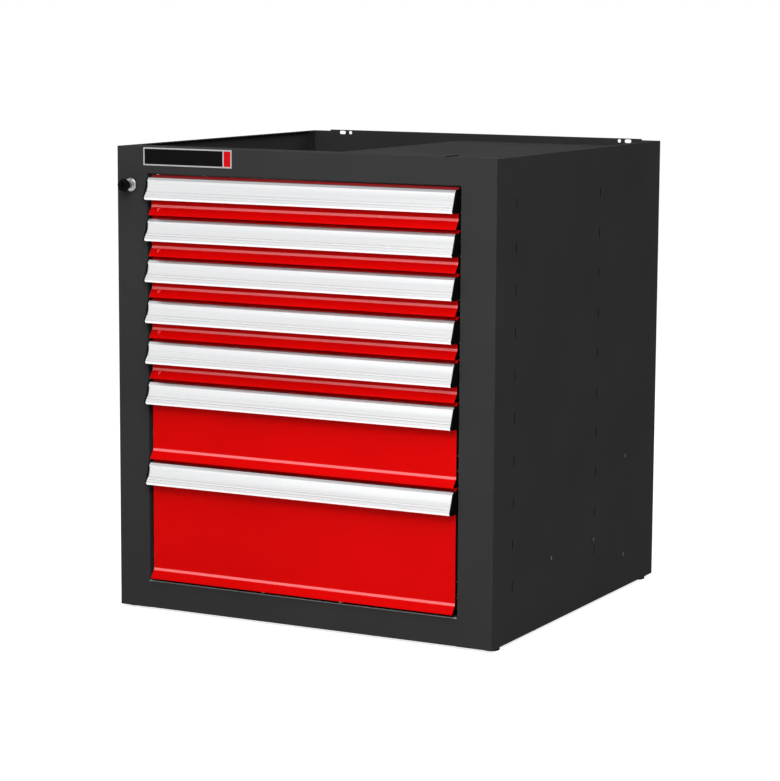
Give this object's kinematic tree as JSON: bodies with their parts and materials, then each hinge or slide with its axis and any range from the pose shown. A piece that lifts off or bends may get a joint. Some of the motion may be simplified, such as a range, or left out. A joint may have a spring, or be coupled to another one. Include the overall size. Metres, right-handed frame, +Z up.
{
  "type": "drawer base cabinet",
  "caption": "Free-standing folded steel base cabinet with full-width handled drawers on telescopic slides, a central lock and a half-covered top.",
  "frame": {"origin": "on the floor, under the middle of the footprint; the footprint runs from the face of the lock knob to the back panel", "axes": "+X to the right and +Y to the back, as seen by someone facing the drawers; +Z up"},
  "size_m": [0.719, 0.717, 0.8063],
  "materials": {
    "casing_paint": "dark grey powder coat, fine texture, semi-matte",
    "front_paint": "bright red powder coat, semi-gloss",
    "tray_paint": "dark grey powder coat, semi-matte",
    "handle_aluminium": "light natural anodised, satin",
    "cap_plastic": "black moulded plastic, matte",
    "slide_steel": "zinc-plated cold-rolled steel, satin",
    "insert_steel": "zinc-plated steel, satin",
    "lock_metal": "nickel-plated, bright",
    "lock_steel": "zinc-plated steel, satin",
    "knob_plastic": "black moulded plastic, semi-gloss",
    "plate_metal": "thin metal plate with painted fields, satin rim",
    "white_nylon": "natural nylon, matte",
    "foot_plastic": "black moulded plastic, matte"
  },
  "bodies": {
    "casing": {"left_side_panel": "casing_paint", "right_side_panel": "casing_paint", "back_panel": "casing_paint", "top_rail": "casing_paint", "bottom_rail": "casing_paint", "floor_panel": "casing_paint", "top_cover_plate": "casing_paint", "feet": "foot_plastic", "side_inserts": "insert_steel", "slide_brackets": "slide_steel", "slide_rails": "slide_steel", "name_plate": "plate_metal", "rest_pads": "white_nylon", "lock_barrel": "lock_metal", "lock_bar_guides": "white_nylon"},
    "lock_turn": {"lock_knob": "knob_plastic", "lock_cam": "lock_steel"},
    "lock_lift": {"lock_bar": "lock_steel"},
    "drawer_1": {"drawer_1_tray": "tray_paint", "drawer_1_front": "front_paint", "drawer_1_handle": "handle_aluminium", "drawer_1_end_caps": "cap_plastic", "drawer_1_inner_slides": "slide_steel"},
    "drawer_1_middle": {"drawer_1_middle_slides": "slide_steel"},
    "drawer_2": {"drawer_2_tray": "tray_paint", "drawer_2_front": "front_paint", "drawer_2_handle": "handle_aluminium", "drawer_2_end_caps": "cap_plastic", "drawer_2_inner_slides": "slide_steel"},
    "drawer_2_middle": {"drawer_2_middle_slides": "slide_steel"},
    "drawer_3": {"drawer_3_tray": "tray_paint", "drawer_3_front": "front_paint", "drawer_3_handle": "handle_aluminium", "drawer_3_end_caps": "cap_plastic", "drawer_3_inner_slides": "slide_steel"},
    "drawer_3_middle": {"drawer_3_middle_slides": "slide_steel"},
    "drawer_4": {"drawer_4_tray": "tray_paint", "drawer_4_front": "front_paint", "drawer_4_handle": "handle_aluminium", "drawer_4_end_caps": "cap_plastic", "drawer_4_inner_slides": "slide_steel"},
    "drawer_4_middle": {"drawer_4_middle_slides": "slide_steel"},
    "drawer_5": {"drawer_5_tray": "tray_paint", "drawer_5_front": "front_paint", "drawer_5_handle": "handle_aluminium", "drawer_5_end_caps": "cap_plastic", "drawer_5_inner_slides": "slide_steel"},
    "drawer_5_middle": {"drawer_5_middle_slides": "slide_steel"},
    "drawer_6": {"drawer_6_tray": "tray_paint", "drawer_6_front": "front_paint", "drawer_6_handle": "handle_aluminium", "drawer_6_end_caps": "cap_plastic", "drawer_6_inner_slides": "slide_steel"},
    "drawer_6_middle": {"drawer_6_middle_slides": "slide_steel"},
    "drawer_7": {"drawer_7_tray": "tray_paint", "drawer_7_front": "front_paint", "drawer_7_handle": "handle_aluminium", "drawer_7_end_caps": "cap_plastic", "drawer_7_inner_slides": "slide_steel"},
    "drawer_7_middle": {"drawer_7_middle_slides": "slide_steel"}
  },
  "joints": [
    {"name": "drawer_1_slide", "type": "slide", "parent": "casing", "child": "drawer_1", "axis": [0, -1, 0], "range_m": [0, 0.57]},
    {"name": "drawer_1_middle_slide", "type": "slide", "parent": "casing", "child": "drawer_1_middle", "axis": [0, -1, 0], "range_m": [0, 0.285]},
    {"name": "drawer_2_slide", "type": "slide", "parent": "casing", "child": "drawer_2", "axis": [0, -1, 0], "range_m": [0, 0.57]},
    {"name": "drawer_2_middle_slide", "type": "slide", "parent": "casing", "child": "drawer_2_middle", "axis": [0, -1, 0], "range_m": [0, 0.285]},
    {"name": "drawer_3_slide", "type": "slide", "parent": "casing", "child": "drawer_3", "axis": [0, -1, 0], "range_m": [0, 0.57]},
    {"name": "drawer_3_middle_slide", "type": "slide", "parent": "casing", "child": "drawer_3_middle", "axis": [0, -1, 0], "range_m": [0, 0.285]},
    {"name": "drawer_4_slide", "type": "slide", "parent": "casing", "child": "drawer_4", "axis": [0, -1, 0], "range_m": [0, 0.57]},
    {"name": "drawer_4_middle_slide", "type": "slide", "parent": "casing", "child": "drawer_4_middle", "axis": [0, -1, 0], "range_m": [0, 0.285]},
    {"name": "drawer_5_slide", "type": "slide", "parent": "casing", "child": "drawer_5", "axis": [0, -1, 0], "range_m": [0, 0.57]},
    {"name": "drawer_5_middle_slide", "type": "slide", "parent": "casing", "child": "drawer_5_middle", "axis": [0, -1, 0], "range_m": [0, 0.285]},
    {"name": "drawer_6_slide", "type": "slide", "parent": "casing", "child": "drawer_6", "axis": [0, -1, 0], "range_m": [0, 0.57]},
    {"name": "drawer_6_middle_slide", "type": "slide", "parent": "casing", "child": "drawer_6_middle", "axis": [0, -1, 0], "range_m": [0, 0.285]},
    {"name": "drawer_7_slide", "type": "slide", "parent": "casing", "child": "drawer_7", "axis": [0, -1, 0], "range_m": [0, 0.57]},
    {"name": "drawer_7_middle_slide", "type": "slide", "parent": "casing", "child": "drawer_7_middle", "axis": [0, -1, 0], "range_m": [0, 0.285]},
    {"name": "lock_knob_turn", "type": "hinge", "parent": "casing", "child": "lock_turn", "pos_m": [-0.3302, -0.3315, 0.739], "axis": [0, -1, 0], "range_deg": [0, 90]},
    {"name": "lock_bar_lift", "type": "slide", "parent": "casing", "child": "lock_lift", "axis": [0, 0, 1], "range_m": [0, 0.0106]}
  ],
  "couplings": [
    {"joint": "drawer_1_middle_slide", "follows": "drawer_1_slide", "ratio": 0.5},
    {"joint": "drawer_2_middle_slide", "follows": "drawer_2_slide", "ratio": 0.5},
    {"joint": "drawer_3_middle_slide", "follows": "drawer_3_slide", "ratio": 0.5},
    {"joint": "drawer_4_middle_slide", "follows": "drawer_4_slide", "ratio": 0.5},
    {"joint": "drawer_5_middle_slide", "follows": "drawer_5_slide", "ratio": 0.5},
    {"joint": "drawer_6_middle_slide", "follows": "drawer_6_slide", "ratio": 0.5},
    {"joint": "drawer_7_middle_slide", "follows": "drawer_7_slide", "ratio": 0.5},
    {"joint": "lock_knob_turn", "follows": "lock_bar_lift", "rad_per_m": 148.19}
  ]
}
